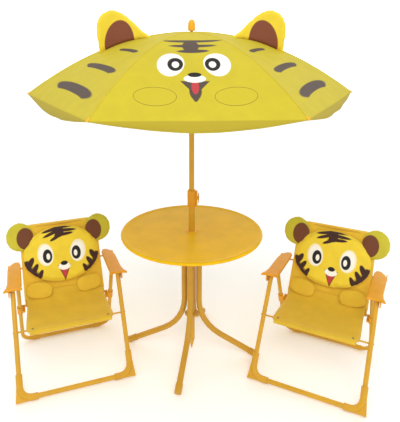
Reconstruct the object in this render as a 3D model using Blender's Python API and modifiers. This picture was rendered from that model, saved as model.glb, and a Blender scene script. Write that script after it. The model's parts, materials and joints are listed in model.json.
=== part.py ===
"""A round children's table with a folding umbrella and two folding armchairs, modelled piece by piece.

World frame: +X to the viewer's right, +Y to the back, +Z up, in metres. The origin is on the floor,
in the middle of the set; the table and the pole stand at POLE_X, because the chairs are not placed
evenly. A chair is drawn in its own frame (x to the right, y to the back,
origin on the floor in the middle of its front bar) and is placed by its empty.
"""
import math

import bmesh
import bpy
from mathutils import Matrix, Vector

# ---------------------------------------------------------------- driving dimensions (metres)
GAP = 0.0003                    # clearance between pieces that touch
TUBE_SIDES = 3                  # bevel resolution of round tubes (10 sides)
WIRE_SIDES = 2                  # bevel resolution of thin rods (8 sides)

# table
POLE_X = -0.0105                # the pole's place across the set
TOP_RADIUS = 0.250
TOP_HEIGHT = 0.482
RIM_RADIUS = 0.006              # roll of the table's edge
TOP_FACE = 0.4795               # flat face inside the rim
TOP_LOW = 0.4780                # underside of the sheet
TOP_RECESS = 0.0232             # radius of the pressed seat of the grommet
LEG_RADIUS = 0.0105
LEG_RING = 0.027                # radius of the circle on which the upright legs stand
LEG_TOP = 0.4602
LEG_CORNER = 0.119              # height at which upright and slope would meet
LEG_BEND = 0.145                # bend radius of a leg
FOOT_RING = 0.241
FOOT_HEIGHT = 0.0112
FRONT_LEG_AZIMUTH = math.radians(-10.8)
LEG_NAMES = ("front", "right", "rear", "left")

# umbrella
RIB_COUNT = 6
CANOPY_RADIUS = 0.537
CANOPY_APEX = 1.1715
CANOPY_DROP = 0.69              # height lost per square metre of radius
CANOPY_TURN = math.radians(2.3)
VALANCE = 0.028
UPPER_POLE = 0.009
LOWER_POLE = 0.011
POLE_BORE = 0.0094
LOWER_POLE_TOP = 0.600
UPPER_POLE_LOW = 0.300
COLLAR_LOW, COLLAR_HIGH = 0.569, 0.633
SCREW = 0.603                   # height of the clamp screw
HINGE_RING = 0.022              # radius of the circle of rib hinges and stretcher ends
CROWN_HINGE = 1.160
RIB_ROD = 0.0025
STAY_ROD = 0.0017
STAY_REACH, STAY_HEIGHT = 0.205, 1.130   # rib lug that carries the stretcher
STAY_SIDE = 0.0055              # stretchers lie beside the ribs

# chair: pivots in the (y, z) plane, then half-widths of its tubes
CHAIR_LEFT = (POLE_X - 0.3824, -0.209, math.radians(20.0))
CHAIR_RIGHT = (POLE_X + 0.3707, -0.241, math.radians(-26.9))
SEAT_FRONT = (0.109, 0.185)     # seat frame on front legs
SEAT_BACK = (0.272, 0.185)      # seat frame on back frame
ARM_FRONT = (0.178, 0.300)      # armrest on front legs
ARM_BACK = (0.341, 0.300)       # armrest on back frame
ARM_REAR = (0.205, 0.300)       # armrest on rear legs
REAR_FOOT = (0.330, 0.0085)
BACK_TOP = (0.4025, 0.436)
FRONT_TUBE, FRONT_X = 0.008, 0.182
REAR_TUBE, REAR_X = 0.007, 0.1645
BACK_TUBE, BACK_X, BACK_TOP_X = 0.007, 0.138, 0.104
SEAT_TUBE, SEAT_X = 0.006, 0.1225
FRONT_BAR = 0.0118              # height of the front bar's axis
PIN = 0.003
PIN_HOLE = 0.0036
CORNER = 0.036                  # bend radius of the frames
CLOTH = 0.0012                  # thickness of a single layer of fabric

PARTS = None
CUTTERS = None


# ---------------------------------------------------------------- scene and materials
def start_scene():
    """Empty the scene and make the two collections."""
    global PARTS, CUTTERS
    for obj in list(bpy.data.objects):
        bpy.data.objects.remove(obj, do_unlink=True)
    PARTS = bpy.data.collections.new("kids_table_and_chairs")
    CUTTERS = bpy.data.collections.new("cutters")
    bpy.context.scene.collection.children.link(PARTS)
    bpy.context.scene.collection.children.link(CUTTERS)


PAINT = ((0.62, 0.40, 0.03), 0.35, 0.0)
TOP_PAINT = ((0.80, 0.50, 0.06), 0.35, 0.0)
DARK = ((0.10, 0.07, 0.03), 0.5, 0.0)
ORANGE = ((0.80, 0.36, 0.03), 0.4, 0.0)
CLOTH_GOLD = ((0.66, 0.42, 0.02), 0.8, 0.0)
CLOTH_LEMON = ((0.66, 0.62, 0.03), 0.8, 0.0)


def finish(obj, look, smooth_angle=35):
    """Give a piece its own material and smooth its round faces."""
    colour, roughness, metallic = look
    mat = bpy.data.materials.new(obj.name)
    mat.use_nodes = True
    shader = mat.node_tree.nodes["Principled BSDF"]
    shader.inputs["Base Color"].default_value = (*colour, 1.0)
    shader.inputs["Roughness"].default_value = roughness
    shader.inputs["Metallic"].default_value = metallic
    obj.data.materials.clear()
    obj.data.materials.append(mat)
    obj.data.shade_smooth()
    obj.data.set_sharp_from_angle(angle=math.radians(smooth_angle))
    return obj


# ---------------------------------------------------------------- shape helpers
def add(name, mesh, collection=None):
    """Make an object from a mesh."""
    obj = bpy.data.objects.new(name, mesh)
    (collection or PARTS).objects.link(obj)
    return obj


def baked(obj):
    """Replace an object by a mesh object of its evaluated shape."""
    graph = bpy.context.evaluated_depsgraph_get()
    graph.update()
    mesh = bpy.data.meshes.new_from_object(obj.evaluated_get(graph))
    cage = bmesh.new()
    cage.from_mesh(mesh)
    bmesh.ops.remove_doubles(cage, verts=cage.verts, dist=1e-6)
    cage.to_mesh(mesh)
    cage.free()
    name = obj.name
    place = obj.matrix_world.copy()
    bpy.data.objects.remove(obj, do_unlink=True)
    solid = add(name, mesh)
    solid.matrix_world = place
    return solid


def rounded(points, radius, steps=5):
    """Points of a path with each inner corner replaced by an arc."""
    path = [Vector(points[0])]
    for before, corner, after in zip(points, points[1:], points[2:]):
        corner = Vector(corner)
        back = (Vector(before) - corner).normalized()
        ahead = (Vector(after) - corner).normalized()
        half = back.angle(ahead) / 2
        reach = radius / math.tan(half)
        centre = corner + (back + ahead).normalized() * radius / math.sin(half)
        first = (corner + back * reach - centre).normalized()
        turn = math.pi - 2 * half
        for i in range(steps + 1):
            angle = turn * i / steps
            path.append(centre + radius * (math.cos(angle) * first - math.sin(angle) * back))
    return path + [Vector(points[-1])]


def tube(name, path, radius, sides=TUBE_SIDES):
    """Round rod along a list of points."""
    curve = bpy.data.curves.new(name, "CURVE")
    curve.dimensions = "3D"
    curve.bevel_depth = radius
    curve.bevel_resolution = sides
    curve.use_fill_caps = True
    spline = curve.splines.new("POLY")
    spline.points.add(len(path) - 1)
    for knot, place in zip(spline.points, path):
        knot.co = (*place, 1.0)
    return baked(add(name, curve))


def rod(name, start, end, radius, sides=12, tip_radius=None):
    """Straight round bar, or a cone when tip_radius is given."""
    start, end = Vector(start), Vector(end)
    mesh = bpy.data.meshes.new(name)
    cage = bmesh.new()
    turn = (end - start).to_track_quat("Z", "Y").to_matrix().to_4x4()
    bmesh.ops.create_cone(cage, cap_ends=True, segments=sides, radius1=radius,
                          radius2=radius if tip_radius is None else tip_radius,
                          depth=(end - start).length,
                          matrix=Matrix.Translation((start + end) / 2) @ turn)
    cage.to_mesh(mesh)
    cage.free()
    return add(name, mesh)


def block(name, low, high):
    """Box between two corners."""
    low, high = Vector(low), Vector(high)
    mesh = bpy.data.meshes.new(name)
    cage = bmesh.new()
    size = Matrix.Diagonal((*(high - low), 1.0))
    bmesh.ops.create_cube(cage, size=1.0, matrix=Matrix.Translation((low + high) / 2) @ size)
    cage.to_mesh(mesh)
    cage.free()
    return add(name, mesh)


def turned(name, profile, steps=32):
    """Solid of revolution about Z: the profile runs down its outer side, from axis to axis or closed."""
    mesh = bpy.data.meshes.new(name)
    cage = bmesh.new()
    knots = [cage.verts.new((radius, 0, height)) for radius, height in profile]
    for knot, following in zip(knots, knots[1:]):
        cage.edges.new((knot, following))
    if profile[0][0] > 0:
        cage.edges.new((knots[-1], knots[0]))
    cage.to_mesh(mesh)
    cage.free()
    obj = add(name, mesh)
    lathe = obj.modifiers.new("lathe", "SCREW")
    lathe.steps = lathe.render_steps = steps
    lathe.use_merge_vertices = True
    lathe.merge_threshold = 0.00001
    return baked(obj)


def slab(name, outline, thickness):
    """Flat outline, extruded upwards by its thickness."""
    curve = bpy.data.curves.new(name, "CURVE")
    curve.dimensions = "2D"
    curve.fill_mode = "BOTH"
    curve.extrude = thickness / 2
    spline = curve.splines.new("POLY")
    spline.points.add(len(outline) - 1)
    for knot, (x, y) in zip(spline.points, outline):
        knot.co = (x, y, 0.0, 1.0)
    spline.use_cyclic_u = True
    return moved(baked(add(name, curve)), Matrix.Translation((0, 0, thickness / 2)))


def moved(obj, matrix):
    """Move the mesh of an object."""
    obj.data.transform(matrix)
    if matrix.determinant() < 0:
        obj.data.flip_normals()
    return obj


def combined(obj, others, operation):
    """Apply one Boolean per tool; the tools are used up."""
    for tool in others:
        for collection in list(tool.users_collection):
            collection.objects.unlink(tool)
        CUTTERS.objects.link(tool)
        tool.hide_render = True
        tool.display_type = "WIRE"
        modifier = obj.modifiers.new(operation.lower(), "BOOLEAN")
        modifier.operation = operation
        modifier.object = tool
    solid = baked(obj)
    for tool in others:
        bpy.data.objects.remove(tool, do_unlink=True)
    return solid


def union(obj, *others):
    """Join shapes into one body."""
    return combined(obj, others, "UNION")


def cut(obj, *others):
    """Cut tools out of a body."""
    return combined(obj, others, "DIFFERENCE")


def softened(obj, width, segments=2):
    """Round the edges of a body."""
    modifier = obj.modifiers.new("edges", "BEVEL")
    modifier.width = width
    modifier.segments = segments
    modifier.limit_method = "ANGLE"
    modifier.angle_limit = math.radians(40)
    return baked(obj)


# ---------------------------------------------------------------- bodies
def body(name, pivot=(0, 0, 0), parent=None, yaw=0.0):
    """Empty on a body's joint axis; pivots are in the frame of the outermost empty."""
    empty = bpy.data.objects.new(name, None)
    PARTS.objects.link(empty)
    empty["pivot"] = tuple(pivot) if parent is not None else (0, 0, 0)
    origin = Vector((0, 0, 0))
    if parent is not None:
        empty.parent = parent
        origin = Vector(parent["pivot"])
    empty.location = Vector(pivot) - origin
    if parent is None:
        empty.rotation_euler = (0, 0, yaw)
    return empty


def attach(obj, empty, look):
    """Parent a finished piece to its body; its origin lands on the body's axis."""
    if empty.parent is not None:
        moved(obj, Matrix.Translation(-Vector(empty["pivot"])))
    obj.parent = empty
    return finish(obj, look)


# ---------------------------------------------------------------- table
def arc_profile(centre, radius, start, end, steps):
    """Points of an arc in a profile, from start to end in degrees."""
    turns = [math.radians(start + (end - start) * i / steps) for i in range(steps + 1)]
    return [(centre[0] + radius * math.cos(a), centre[1] + radius * math.sin(a)) for a in turns]


def table_top():
    """Round sheet with a rolled rim and a hole for the pole."""
    edge = (TOP_RADIUS - RIM_RADIUS, TOP_HEIGHT - RIM_RADIUS)
    inner = TOP_RADIUS - 2.2 * RIM_RADIUS
    seat = TOP_FACE - 0.0009
    profile = [(0.0150, seat), (TOP_RECESS - 0.0006, seat), (TOP_RECESS, TOP_FACE),
               (inner - 0.006, TOP_FACE)]
    profile += arc_profile(edge, RIM_RADIUS, 90, -90, 4)
    profile += [(inner, 0.4720), (inner - 0.007, TOP_LOW), (0.0150, TOP_LOW)]
    return turned("table_top", profile, 48)


def pole_grommet():
    """Moulded ring that lines the hole of the top."""
    seat = TOP_FACE - 0.0006
    profile = [(0.0116, seat + 0.0034), (0.0190, seat + 0.0034), (0.0220, seat), (0.0146, seat),
               (0.0146, TOP_LOW), (0.0116, TOP_LOW)]
    return turned("pole_grommet", profile, 20)


def top_plate():
    """Flanged plate under the top that carries the four legs."""
    high, low = TOP_LOW - GAP, LEG_TOP + GAP
    profile = [(0.0116, high), (0.0620, high), (0.0620, high - 0.0022), (0.0420, high - 0.0036),
               (0.0400, low), (0.0116, low)]
    return turned("top_plate", profile, 24)


def hub_ring():
    """Disc between the legs that keeps the pole upright."""
    profile = [(0.0116, 0.1560), (0.0244, 0.1560), (0.0256, 0.1545), (0.0256, 0.1500), (0.0116, 0.1500)]
    return turned("hub_ring", profile, 20)


def table_leg(name, azimuth):
    """Bent leg: upright under the top, then sloping out to the floor, with its foot cap."""
    corners = [(LEG_RING, 0, LEG_TOP), (LEG_RING, 0, LEG_CORNER), (FOOT_RING, 0, FOOT_HEIGHT)]
    leg = tube(name, rounded(corners, LEG_BEND, 6), LEG_RADIUS)
    slope = (Vector(corners[2]) - Vector(corners[1])).normalized()
    toe = Vector(corners[2]) + slope * 0.004
    heel = toe - slope * 0.032
    leg = union(leg, rod(name + "_cap", heel, toe, LEG_RADIUS + 0.0018, 16))
    leg = cut(leg, block(name + "_floor", (0.1, -0.1, -0.1), (0.4, 0.1, 0.0)))
    leg.rotation_euler = (0, 0, azimuth - math.pi / 2)
    return leg


def build_table():
    """All pieces of the table."""
    table = body("table_body", (POLE_X, 0, 0))
    attach(table_top(), table, TOP_PAINT)
    attach(pole_grommet(), table, ORANGE)
    attach(top_plate(), table, PAINT)
    attach(hub_ring(), table, DARK)
    for index, side in enumerate(LEG_NAMES):
        azimuth = FRONT_LEG_AZIMUTH + index * math.pi / 2
        attach(table_leg("table_leg_" + side, azimuth), table, PAINT)
    return table


# ---------------------------------------------------------------- umbrella
def canopy_height(radius):
    """Height of the canopy's outer face along a rib."""
    return CANOPY_APEX - CANOPY_DROP * radius * radius


def rib_angle(index):
    """Direction of a rib, counted from the front towards the right, as an angle from +X."""
    return CANOPY_TURN + math.pi / RIB_COUNT + index * 2 * math.pi / RIB_COUNT - math.pi / 2


def poles(table):
    """Lower pole with its tip, collar, clamp screw and the telescoping upper pole."""
    profile = [(0.0, 0.060), (POLE_BORE, 0.064), (POLE_BORE, LOWER_POLE_TOP),
               (LOWER_POLE, LOWER_POLE_TOP), (LOWER_POLE, 0.045), (0.0, 0.002)]
    attach(turned("lower_pole", profile, 20), table, PAINT)
    wide, snug, fit = 0.0150, UPPER_POLE + 0.0004, LOWER_POLE + GAP
    profile = [(snug, COLLAR_HIGH), (wide - 0.003, COLLAR_HIGH), (wide, COLLAR_HIGH - 0.004),
               (wide, COLLAR_LOW + 0.003), (wide - 0.002, COLLAR_LOW), (fit, COLLAR_LOW),
               (fit, LOWER_POLE_TOP + GAP), (snug, LOWER_POLE_TOP + GAP)]
    collar = turned("pole_collar", profile, 20)
    lug = block("lug", (0.0125, -0.0095, COLLAR_LOW + 0.009), (0.0205, 0.0095, COLLAR_HIGH - 0.005))
    collar = union(collar, softened(lug, 0.002, 1))
    collar = cut(collar, rod("screw_hole", (0.0160, 0, SCREW), (0.040, 0, SCREW), 0.0033, 16))
    attach(collar, table, ORANGE)
    screw = body("clamp_screw_body", (0.0210, 0, SCREW), table)
    head = rod("thumb_screw", (0.0210, 0, SCREW), (0.0240, 0, SCREW), 0.0078, 20)
    wing = block("wing", (0.0228, -0.0035, SCREW - 0.018), (0.0262, 0.0035, SCREW + 0.018))
    shank = rod("shank", (0.0170, 0, SCREW), (0.0230, 0, SCREW), 0.0028, 12)
    attach(union(head, softened(wing, 0.0010, 1), shank), screw, ORANGE)
    mast = body("mast_body", (0, 0, COLLAR_HIGH), table)
    top = CROWN_HINGE - 0.014
    bore = UPPER_POLE - 0.0012
    profile = [(0.0, top), (UPPER_POLE, top), (UPPER_POLE, UPPER_POLE_LOW), (bore, UPPER_POLE_LOW),
               (bore, top - 0.006), (0.0, top - 0.006)]
    attach(turned("upper_pole", profile, 20), mast, PAINT)
    return mast


def crown(mast):
    """Crown with its spigot and the wire ring on which the ribs hinge."""
    low, high = CROWN_HINGE - 0.0137, CROWN_HINGE + 0.003
    profile = [(0.0, 1.1860), (0.0048, 1.1860), (0.0048, 1.1700), (0.0062, high),
               (0.0170, high), (0.0180, high - 0.002), (0.0180, CROWN_HINGE - 0.005),
               (0.0130, low), (0.0, low)]
    piece = turned("crown", profile, 18)
    ring = [(HINGE_RING + 0.0009 * math.cos(a), CROWN_HINGE + 0.0009 * math.sin(a))
            for a in (-i * math.pi / 2 for i in range(4))]
    parts = [turned("ring", ring, 24)]
    for index in range(RIB_COUNT):
        turn = rib_angle(index) + math.pi / RIB_COUNT
        way = Vector((math.cos(turn), math.sin(turn), 0))
        height = Vector((0, 0, CROWN_HINGE))
        parts.append(rod("spoke", way * 0.0165 + height, way * 0.0222 + height, 0.0014, 8))
    attach(union(piece, *parts), mast, ORANGE)
    knob = [(0.0, 1.2105), (0.0050, 1.2095), (0.0090, 1.2055), (0.0112, 1.1990), (0.0120, 1.1900),
            (0.0120, 1.1780), (0.0110, 1.1748), (0.0092, 1.1736), (0.0051, 1.1736), (0.0051, 1.1870),
            (0.0, 1.1870)]
    attach(turned("finial", knob, 18), mast, ORANGE)


def stay_triangle():
    """Length of a stretcher and height of the runner's pivots with the canopy open."""
    lug = Vector((STAY_REACH - HINGE_RING, STAY_HEIGHT - CROWN_HINGE))
    return lug.length, CROWN_HINGE + 2 * lug.y


def runner(mast):
    """Sleeve that slides on the upper pole and spreads the stretchers."""
    pivot = stay_triangle()[1]
    hole, wall = UPPER_POLE + GAP, 0.0125
    profile = [(hole, pivot + 0.006), (0.0160, pivot + 0.006), (0.0178, pivot + 0.004),
               (0.0178, pivot - 0.004), (wall, pivot - 0.007), (wall, pivot - 0.040),
               (0.0145, pivot - 0.043), (0.0145, pivot - 0.048), (hole, pivot - 0.048)]
    piece = turned("runner", profile, 18)
    attach(piece, body("runner_body", (0, 0, pivot), mast), DARK)


def rib_height(radius):
    """Axis of a rib rod, just under the canopy."""
    return canopy_height(radius) - 0.006


def rib(index, mast):
    """Rib with its hinge eye and the pin for its stretcher, drawn along +X and turned into place."""
    name = f"rib_{index + 1}"
    reach = [0.036 + (CANOPY_RADIUS - 0.004 - 0.036) * i / 7 for i in range(8)]
    path = [(HINGE_RING + 0.0015, 0, CROWN_HINGE)] + [(r, 0, rib_height(r)) for r in reach]
    piece = tube(name, path, RIB_ROD, WIRE_SIDES)
    hinge = Vector((HINGE_RING, 0, CROWN_HINGE))
    side = Vector((0, 0.0016, 0))
    eye = rod("eye", hinge - side, hinge + side, 0.0034, 8)
    lug_low = Vector((STAY_REACH, 0, STAY_HEIGHT))
    lug = rod("lug", lug_low, (STAY_REACH, 0, rib_height(STAY_REACH)), 0.0021, 8)
    pin = rod("pin", lug_low - side / 2, lug_low + Vector((0, 0.0080, 0)), 0.0014, 8)
    piece = union(piece, eye, lug, pin)
    piece = cut(piece, rod("hole", hinge - 4 * side, hinge + 4 * side, 0.0015, 8))
    return hang(piece, name, hinge, index, mast, PAINT)


def hang(piece, name, hinge, index, parent, look):
    """Put a piece drawn along +X on its own empty at its hinge, turned to its rib."""
    turn = Matrix.Rotation(rib_angle(index), 4, "Z")
    empty = body(name + "_body", turn @ hinge, parent)
    moved(piece, turn)
    attach(piece, empty, look)
    return empty


def stretcher(index, rib_empty):
    """Stay from the rib's pin down to the runner, beside the rib."""
    length = stay_triangle()[0]
    side = Vector((0, STAY_SIDE, 0))
    upper = Vector((STAY_REACH, 0, STAY_HEIGHT))
    lower = Vector((HINGE_RING, 0, CROWN_HINGE + 2 * (STAY_HEIGHT - CROWN_HINGE)))
    assert abs((upper - lower).length - length) < 1e-6
    name = f"stretcher_{index + 1}"
    half = Vector((0, 0.0021, 0))
    start = upper + (lower - upper).normalized() * 0.0026
    piece = rod(name, start + side, lower + side, STAY_ROD, 8)
    eye = rod("eye", upper + side - half, upper + side + half, 0.0034, 8)
    end = rod("end", lower + side - half, lower + side + half, 0.0028, 8)
    piece = union(piece, eye, end)
    piece = cut(piece, rod("hole", upper + side - 3 * half, upper + side + 3 * half, 0.0019, 8))
    hang(piece, name, upper, index, rib_empty, PAINT)


def canopy(mast):
    """Six flat gores with a valance, as one thin shell with a hole for the crown's spigot."""
    mesh = bpy.data.meshes.new("canopy")
    cage = bmesh.new()
    across = 4
    reach = [0.0075, 0.05, 0.11, 0.19, 0.28, 0.37, 0.46, CANOPY_RADIUS]
    rings = []
    columns = RIB_COUNT * across
    for step, radius in enumerate(reach + [CANOPY_RADIUS] * 2):
        drop = max(0, step - len(reach) + 1) / 2
        ring = []
        for column in range(columns):
            share = (column % across) / across
            first = rib_angle(column // across)
            second = first + 2 * math.pi / RIB_COUNT
            start = Vector((math.cos(first), math.sin(first), 0)) * radius
            end = Vector((math.cos(second), math.sin(second), 0)) * radius
            place = start.lerp(end, share)
            bow = math.sin(math.pi * share)
            place += place.normalized() * 0.006 * drop * bow
            place.z = canopy_height(radius) - drop * (0.002 + VALANCE * bow)
            ring.append(cage.verts.new(place))
        rings.append(ring)
    for inner, outer in zip(rings, rings[1:]):
        for i in range(columns):
            j = (i + 1) % columns
            cage.faces.new([inner[i], outer[i], outer[j], inner[j]])
    cage.to_mesh(mesh)
    cage.free()
    piece = add("canopy", mesh)
    shell = piece.modifiers.new("cloth", "SOLIDIFY")
    shell.thickness = 0.001
    shell.offset = -1
    attach(baked(piece), mast, CLOTH_LEMON)


def canopy_ear(name, index, rib_empty):
    """Flat padded ear that stands on a side rib."""
    centre, wide, tall = (0.219, 1.150), 0.090, 0.097
    turns = [math.radians(-20 + 220 * i / 22) for i in range(23)]
    arch = [(centre[0] + wide * math.cos(a), centre[1] + tall * math.sin(a)) for a in turns]
    outline = [p for p in arch if p[1] > canopy_height(p[0]) + 0.004]
    ends = (outline[-1][0], outline[0][0])
    count = 8
    for i in range(count + 1):
        radius = ends[0] + (ends[1] - ends[0]) * i / count
        outline.append((radius, canopy_height(radius) + 0.0012))
    thick = 0.014
    piece = slab(name, outline, thick)
    moved(piece, Matrix.Rotation(math.pi / 2, 4, "X") @ Matrix.Translation((0, 0, -thick / 2)))
    turn = Matrix.Rotation(rib_angle(index), 4, "Z")
    attach(moved(softened(piece, 0.003, 1), turn), rib_empty, CLOTH_LEMON)


def build_umbrella(table):
    """All pieces of the umbrella."""
    mast = poles(table)
    crown(mast)
    runner(mast)
    canopy(mast)
    for index in range(RIB_COUNT):
        rib_empty = rib(index, mast)
        stretcher(index, rib_empty)
        if index == 1:
            canopy_ear("canopy_ear_right", index, rib_empty)
        if index == 4:
            canopy_ear("canopy_ear_left", index, rib_empty)


# ---------------------------------------------------------------- chair
def at(x, point):
    """Place in a chair's frame from an x and a (y, z) pair."""
    return Vector((x, point[0], point[1]))


def cross_pin(point, inner, outer, radius=PIN, sides=8):
    """Pair of pins along x, one on each side."""
    return [rod("pin", at(s * inner, point), at(s * outer, point), radius, sides) for s in (-1, 1)]


def beyond(start, end, extra):
    """Point past the end of a line in the (y, z) plane."""
    way = (Vector(end) - Vector(start)).normalized()
    return tuple(Vector(end) + way * extra)


def front_frame(name):
    """U tube: two front legs and the bar between the feet."""
    foot = (0.0, FRONT_BAR)
    top = beyond(foot, ARM_FRONT, 0.004)
    corners = [at(-FRONT_X, top), at(-FRONT_X, foot), at(FRONT_X, foot), at(FRONT_X, top)]
    frame = tube(name, rounded(corners, CORNER, 4), FRONT_TUBE)
    holes = []
    for point in (ARM_FRONT, SEAT_FRONT):
        holes += cross_pin(point, FRONT_X - 0.02, FRONT_X + 0.02, PIN_HOLE)
    return cut(frame, *holes)


def front_foot(name, side):
    """Plastic corner round the bend of the front frame, with a web that squares it off outside."""
    way = (Vector(ARM_FRONT) - Vector((0.0, FRONT_BAR))).normalized()
    leg = way * 0.075
    corners = [(side * (FRONT_X - 0.056), 0, FRONT_BAR), (side * FRONT_X, 0, FRONT_BAR),
               (side * FRONT_X, leg.x, FRONT_BAR + leg.y)]
    sleeve = tube(name, rounded(corners, CORNER, 4), FRONT_TUBE + 0.0031)
    outline = [(FRONT_X - 0.046, 0.0), (FRONT_X - 0.046, -0.0085), (FRONT_X + 0.0155, -0.0100),
               (FRONT_X + 0.0095, 0.050), (FRONT_X, 0.050), (FRONT_X - 0.0040, 0.0200),
               (FRONT_X - 0.0185, 0.0055)]
    web = slab("web", [(side * x, t) for x, t in outline], 0.0090)
    lean = Matrix(((1, 0, 0, 0), (0, way.x, -way.y, 0), (0, way.y, way.x, FRONT_BAR), (0, 0, 0, 1)))
    web = moved(moved(web, Matrix.Translation((0, 0, -0.0045))), lean)
    sleeve = union(sleeve, web)
    longer = [(side * 0.02, 0, FRONT_BAR), corners[1], (side * FRONT_X, 2 * leg.x, FRONT_BAR + 2 * leg.y)]
    sleeve = cut(sleeve, tube("bend", rounded(longer, CORNER, 4), FRONT_TUBE + 0.0008))
    return cut(sleeve, block("floor", (-0.4, -0.1, -0.1), (0.4, 0.1, 0.0)))


def rear_frame(name):
    """U tube: two rear legs and the bar on the floor behind."""
    top = beyond(REAR_FOOT, ARM_REAR, 0.004)
    corners = [at(-REAR_X, top), at(-REAR_X, REAR_FOOT), at(REAR_X, REAR_FOOT), at(REAR_X, top)]
    frame = tube(name, rounded(corners, CORNER, 4), REAR_TUBE)
    for side in (-1, 1):
        x = side * (REAR_X - CORNER - 0.012)
        foot = rod("foot", (x - 0.014, *REAR_FOOT), (x + 0.014, *REAR_FOOT), REAR_TUBE + 0.0018, 12)
        frame = union(frame, foot)
    frame = cut(frame, *cross_pin(ARM_REAR, REAR_X - 0.02, REAR_X + 0.02, PIN_HOLE))
    return cut(frame, block("floor", (-0.4, 0.2, -0.1), (0.4, 0.5, 0.0)))


def knuckle(name, side):
    """Plastic sleeve on a rear leg; its ledge carries the cross pin of the back frame."""
    leg = (Vector(REAR_FOOT) - Vector(ARM_REAR)).normalized()
    behind = Vector((-leg.y, leg.x))
    pin = Vector(SEAT_BACK) - Vector(ARM_REAR)
    along, off = pin.dot(leg), pin.dot(behind)
    start = Vector(ARM_REAR) + leg * (along - 0.020)
    end = Vector(ARM_REAR) + leg * (along + 0.016)
    x = side * REAR_X
    sleeve = rod(name, at(x, start), at(x, end), 0.0100, 16)
    ledge = block("ledge", (-0.0038, -0.005, along + 0.0034), (0.0066, off + 0.007, along + 0.0120))
    frame = Matrix(((-side, 0, 0, side * 0.1506), (0, behind.x, leg.x, ARM_REAR[0]),
                    (0, behind.y, leg.y, ARM_REAR[1]), (0, 0, 0, 1)))
    sleeve = union(sleeve, moved(ledge, frame @ Matrix.Diagonal((-1, 1, 1, 1))))
    bore = rod("bore", at(x, start - leg * 0.01), at(x, end + leg * 0.01), REAR_TUBE + GAP, 16)
    return cut(sleeve, bore)


def seat_frame(name):
    """U tube under the seat, with the pins that carry it on the front legs."""
    front = SEAT_FRONT[0] - 0.018
    rear = SEAT_BACK[0] + 0.010
    height = SEAT_FRONT[1]
    corners = [(-SEAT_X, rear, height), (-SEAT_X, front, height), (SEAT_X, front, height),
               (SEAT_X, rear, height)]
    frame = tube(name, rounded(corners, 0.014, 3), SEAT_TUBE)
    frame = union(frame, *cross_pin(SEAT_FRONT, SEAT_X, FRONT_X + FRONT_TUBE + 0.0015))
    return cut(frame, *cross_pin(SEAT_BACK, SEAT_X - 0.02, SEAT_X + 0.02, PIN_HOLE))


def back_line(reach):
    """Point on the upper back, measured along it from the armrest pivot, in (y, z)."""
    way = (Vector(BACK_TOP) - Vector(ARM_BACK)).normalized()
    return Vector(ARM_BACK) + way * reach


def back_frame(name):
    """Inverted U tube of the backrest, with the pins that rest in the knuckles."""
    low = beyond(ARM_BACK, SEAT_BACK, 0.006)
    left = [at(-BACK_X, low), at(-BACK_X, ARM_BACK), at(-BACK_TOP_X, BACK_TOP)]
    right = [Vector((-p.x, p.y, p.z)) for p in reversed(left)]
    frame = tube(name, rounded(left + right, CORNER, 4), BACK_TUBE)
    frame = union(frame, *cross_pin(SEAT_BACK, SEAT_X - SEAT_TUBE - 0.0015, 0.1542))
    return cut(frame, *cross_pin(ARM_BACK, BACK_X - 0.02, BACK_X + 0.02, PIN_HOLE))


def armrest(name, side):
    """Moulded armrest: a plate that widens to two pointed front corners, its flange and three pins."""
    plate_low, thick = 0.3127, 0.009
    outline = [(0.158, 0.356), (0.152, 0.340), (0.1505, 0.290), (0.1505, 0.185), (0.153, 0.165),
               (0.149, 0.150), (0.170, 0.156), (0.190, 0.155), (0.213, 0.147), (0.203, 0.170),
               (0.1985, 0.200), (0.198, 0.240), (0.197, 0.300), (0.190, 0.335), (0.176, 0.354)]
    plate = slab(name, outline, thick)
    moved(plate, Matrix.Translation((0, 0, plate_low)))
    plate = softened(plate, 0.0025, 1)
    flange = [(0.160, 0.3150), (0.160, 0.291), (0.170, 0.283), (0.215, 0.2865), (0.232, 0.2935),
              (0.335, 0.2935), (0.348, 0.2960), (0.350, 0.3150)]
    web = slab("web", flange, 0.0036)
    upright = Matrix(((0, 0, 1, 0.1925), (1, 0, 0, 0), (0, 1, 0, 0), (0, 0, 0, 1)))
    pieces = [moved(web, upright)]
    for point, inner in ((ARM_FRONT, 0.1745), (ARM_REAR, 0.1580), (ARM_BACK, 0.1315)):
        pieces.append(rod("pin", at(inner, point), at(0.1950, point), PIN, 8))
        pieces.append(rod("head", at(0.1955, point), at(0.1976, point), 0.0052, 8, 0.0034))
    piece = union(plate, *pieces)
    if side < 0:
        moved(piece, Matrix.Diagonal((-1, 1, 1, 1)))
    return piece


def seat_fabric(name):
    """Seat sleeve: a flat top that rolls over the front tube."""
    low, high = SEAT_FRONT[1] + SEAT_TUBE + GAP, SEAT_FRONT[1] + SEAT_TUBE + 0.0045
    front, rear = SEAT_FRONT[0] - 0.030, SEAT_BACK[0] - 0.011
    outline = [(rear, low), (rear, high), (front + 0.008, high), (front + 0.002, high - 0.004),
               (front, high - 0.010), (front, low - 0.016), (front + 0.004, low - 0.016),
               (front + 0.0055, low)]
    wide = 0.148
    piece = slab(name, outline, 2 * wide)
    stand = Matrix(((0, 0, 1, -wide), (1, 0, 0, 0), (0, 1, 0, 0), (0, 0, 0, 1)))
    return moved(piece, stand)


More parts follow.
